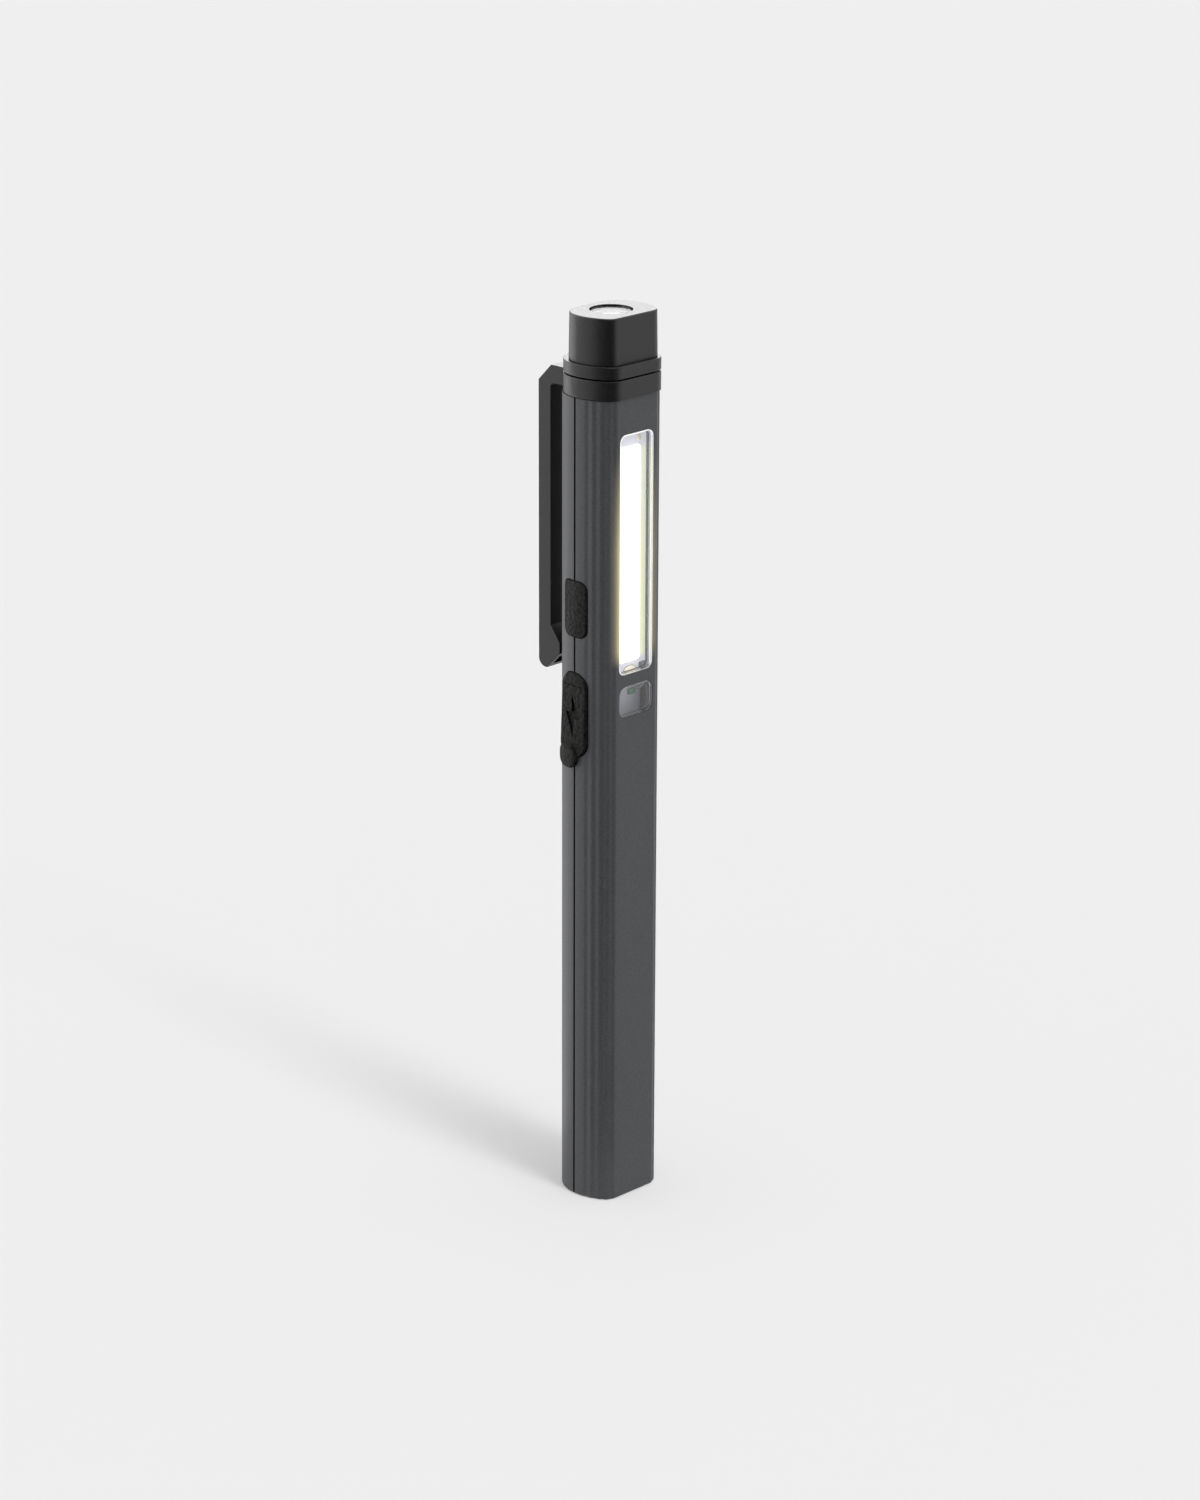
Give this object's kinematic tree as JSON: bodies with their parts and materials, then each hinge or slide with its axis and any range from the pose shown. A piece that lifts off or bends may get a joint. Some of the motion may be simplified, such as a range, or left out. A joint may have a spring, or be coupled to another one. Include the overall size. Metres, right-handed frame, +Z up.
{
  "type": "rechargeable penlight",
  "caption": "Rechargeable penlight with a long lamp window in its flat front, a head lens, a sprung pocket clip, a side button and a rubber port cover.",
  "frame": {"origin": "on the foot's flat face, on the axis through the middle of the head lens", "axes": "+Z up the barrel towards the head, -Y out of the flat front with the lamp window, +Y towards the clip, -X towards the button and port cover"},
  "size_m": [0.0178, 0.0207, 0.165],
  "materials": {
    "barrel_plastic": "fine-grained matte",
    "head_plastic": "black satin",
    "rubber": "matte rubber",
    "clear_plastic": "clear",
    "white_board": "white solder mask",
    "phosphor": "lit phosphor silicone",
    "black_plastic": "moulded black",
    "white_part": "matte white",
    "steel": "bare",
    "nickel": "nickel plated",
    "aluminium": "bare",
    "solder": "bright",
    "mirror_plastic": "metallised",
    "cell_wrap": "printed film over metal",
    "red_lens": "diffuse",
    "green_lens": "diffuse",
    "red_wire": "insulation",
    "black_wire": "insulation"
  },
  "bodies": {
    "barrel": {"front_shell": "barrel_plastic", "back_shell": "barrel_plastic", "clip_collar": "head_plastic", "head_cap": "head_plastic", "port_tether": "rubber", "head_seal": "rubber", "cob_window": "clear_plastic", "indicator_window": "clear_plastic", "head_lens": "clear_plastic", "cob_board": "white_board", "head_board": "white_board", "main_board": "white_board", "cob_strip": "phosphor", "head_led": "phosphor", "cob_resistor": "black_plastic", "driver_chip": "black_plastic", "charge_chip": "black_plastic", "driver_inductor": "black_plastic", "switch_body": "black_plastic", "usb_tongue": "black_plastic", "window_gasket": "white_part", "usb_shell": "steel", "case_screw_lower": "steel", "case_screw_upper": "steel", "battery_button": "nickel", "battery_tab_upper": "nickel", "battery_tab_lower": "nickel", "base_magnet": "nickel", "heat_plate": "aluminium", "cob_solder_lower": "solder", "cob_solder_upper": "solder", "head_reflector": "mirror_plastic", "battery_cell": "cell_wrap", "indicator_led_red": "red_lens", "indicator_led_green": "green_lens", "lead_battery_positive": "red_wire", "lead_head_positive": "red_wire", "lead_strip_positive": "red_wire", "lead_battery_negative": "black_wire", "lead_head_negative": "black_wire", "lead_strip_negative": "black_wire"},
    "clip": {"pocket_clip": "head_plastic"},
    "button": {"side_button": "rubber", "switch_plunger": "white_part"},
    "port_flap": {"port_cover": "rubber"}
  },
  "joints": [
    {"name": "clip_flex", "type": "hinge", "parent": "barrel", "child": "clip", "pos_m": [0, 0.0076, 0.1524], "axis": [1, 0, 0], "range_deg": [0, 4], "stiffness_Nm_per_rad": 5},
    {"name": "button_press", "type": "slide", "parent": "barrel", "child": "button", "axis": [1, 0, 0], "range_m": [0, 0.0005], "stiffness_N_per_m": 4000},
    {"name": "port_cover_hinge", "type": "hinge", "parent": "barrel", "child": "port_flap", "pos_m": [-0.0085, 0.0008, 0.0983], "axis": [0, 1, 0], "range_deg": [0, 110], "stiffness_Nm_per_rad": 0.002}
  ]
}
